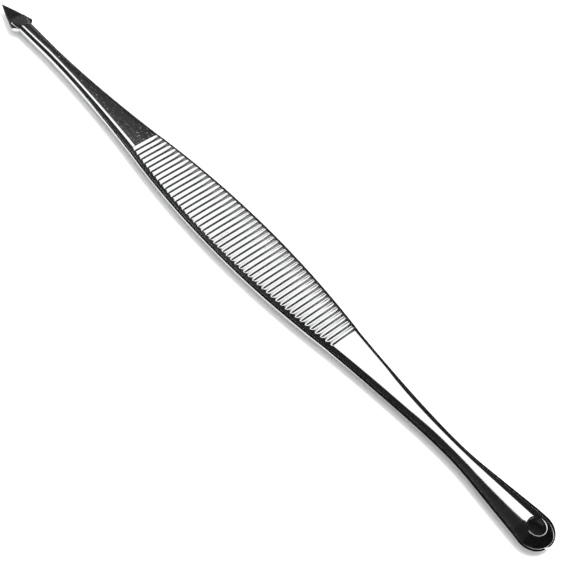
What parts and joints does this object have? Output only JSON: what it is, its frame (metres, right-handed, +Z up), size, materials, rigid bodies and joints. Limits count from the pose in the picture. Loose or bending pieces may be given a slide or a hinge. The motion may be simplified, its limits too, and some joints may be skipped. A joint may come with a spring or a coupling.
{
  "type": "blackhead extractor",
  "caption": "Polished steel blackhead extractor with an arrow-headed lance, a leaf-shaped ribbed grip and a domed spoon with a round hole.",
  "frame": {"origin": "under the middle of the tool's length, on the surface that the flat underside of the grip lies on", "axes": "+X from the lance to the spoon, +Y across the grip, +Z up, out of the ribbed face"},
  "size_m": [0.1305, 0.0098, 0.0028],
  "materials": {
    "lance": "mirror-polished stainless steel",
    "ribbed_grip": "mirror-polished stainless steel with pressed cross ribs",
    "spoon": "mirror-polished stainless steel"
  },
  "bodies": {
    "root": {"lance": "lance", "ribbed_grip": "ribbed_grip", "spoon": "spoon"}
  },
  "joints": []
}
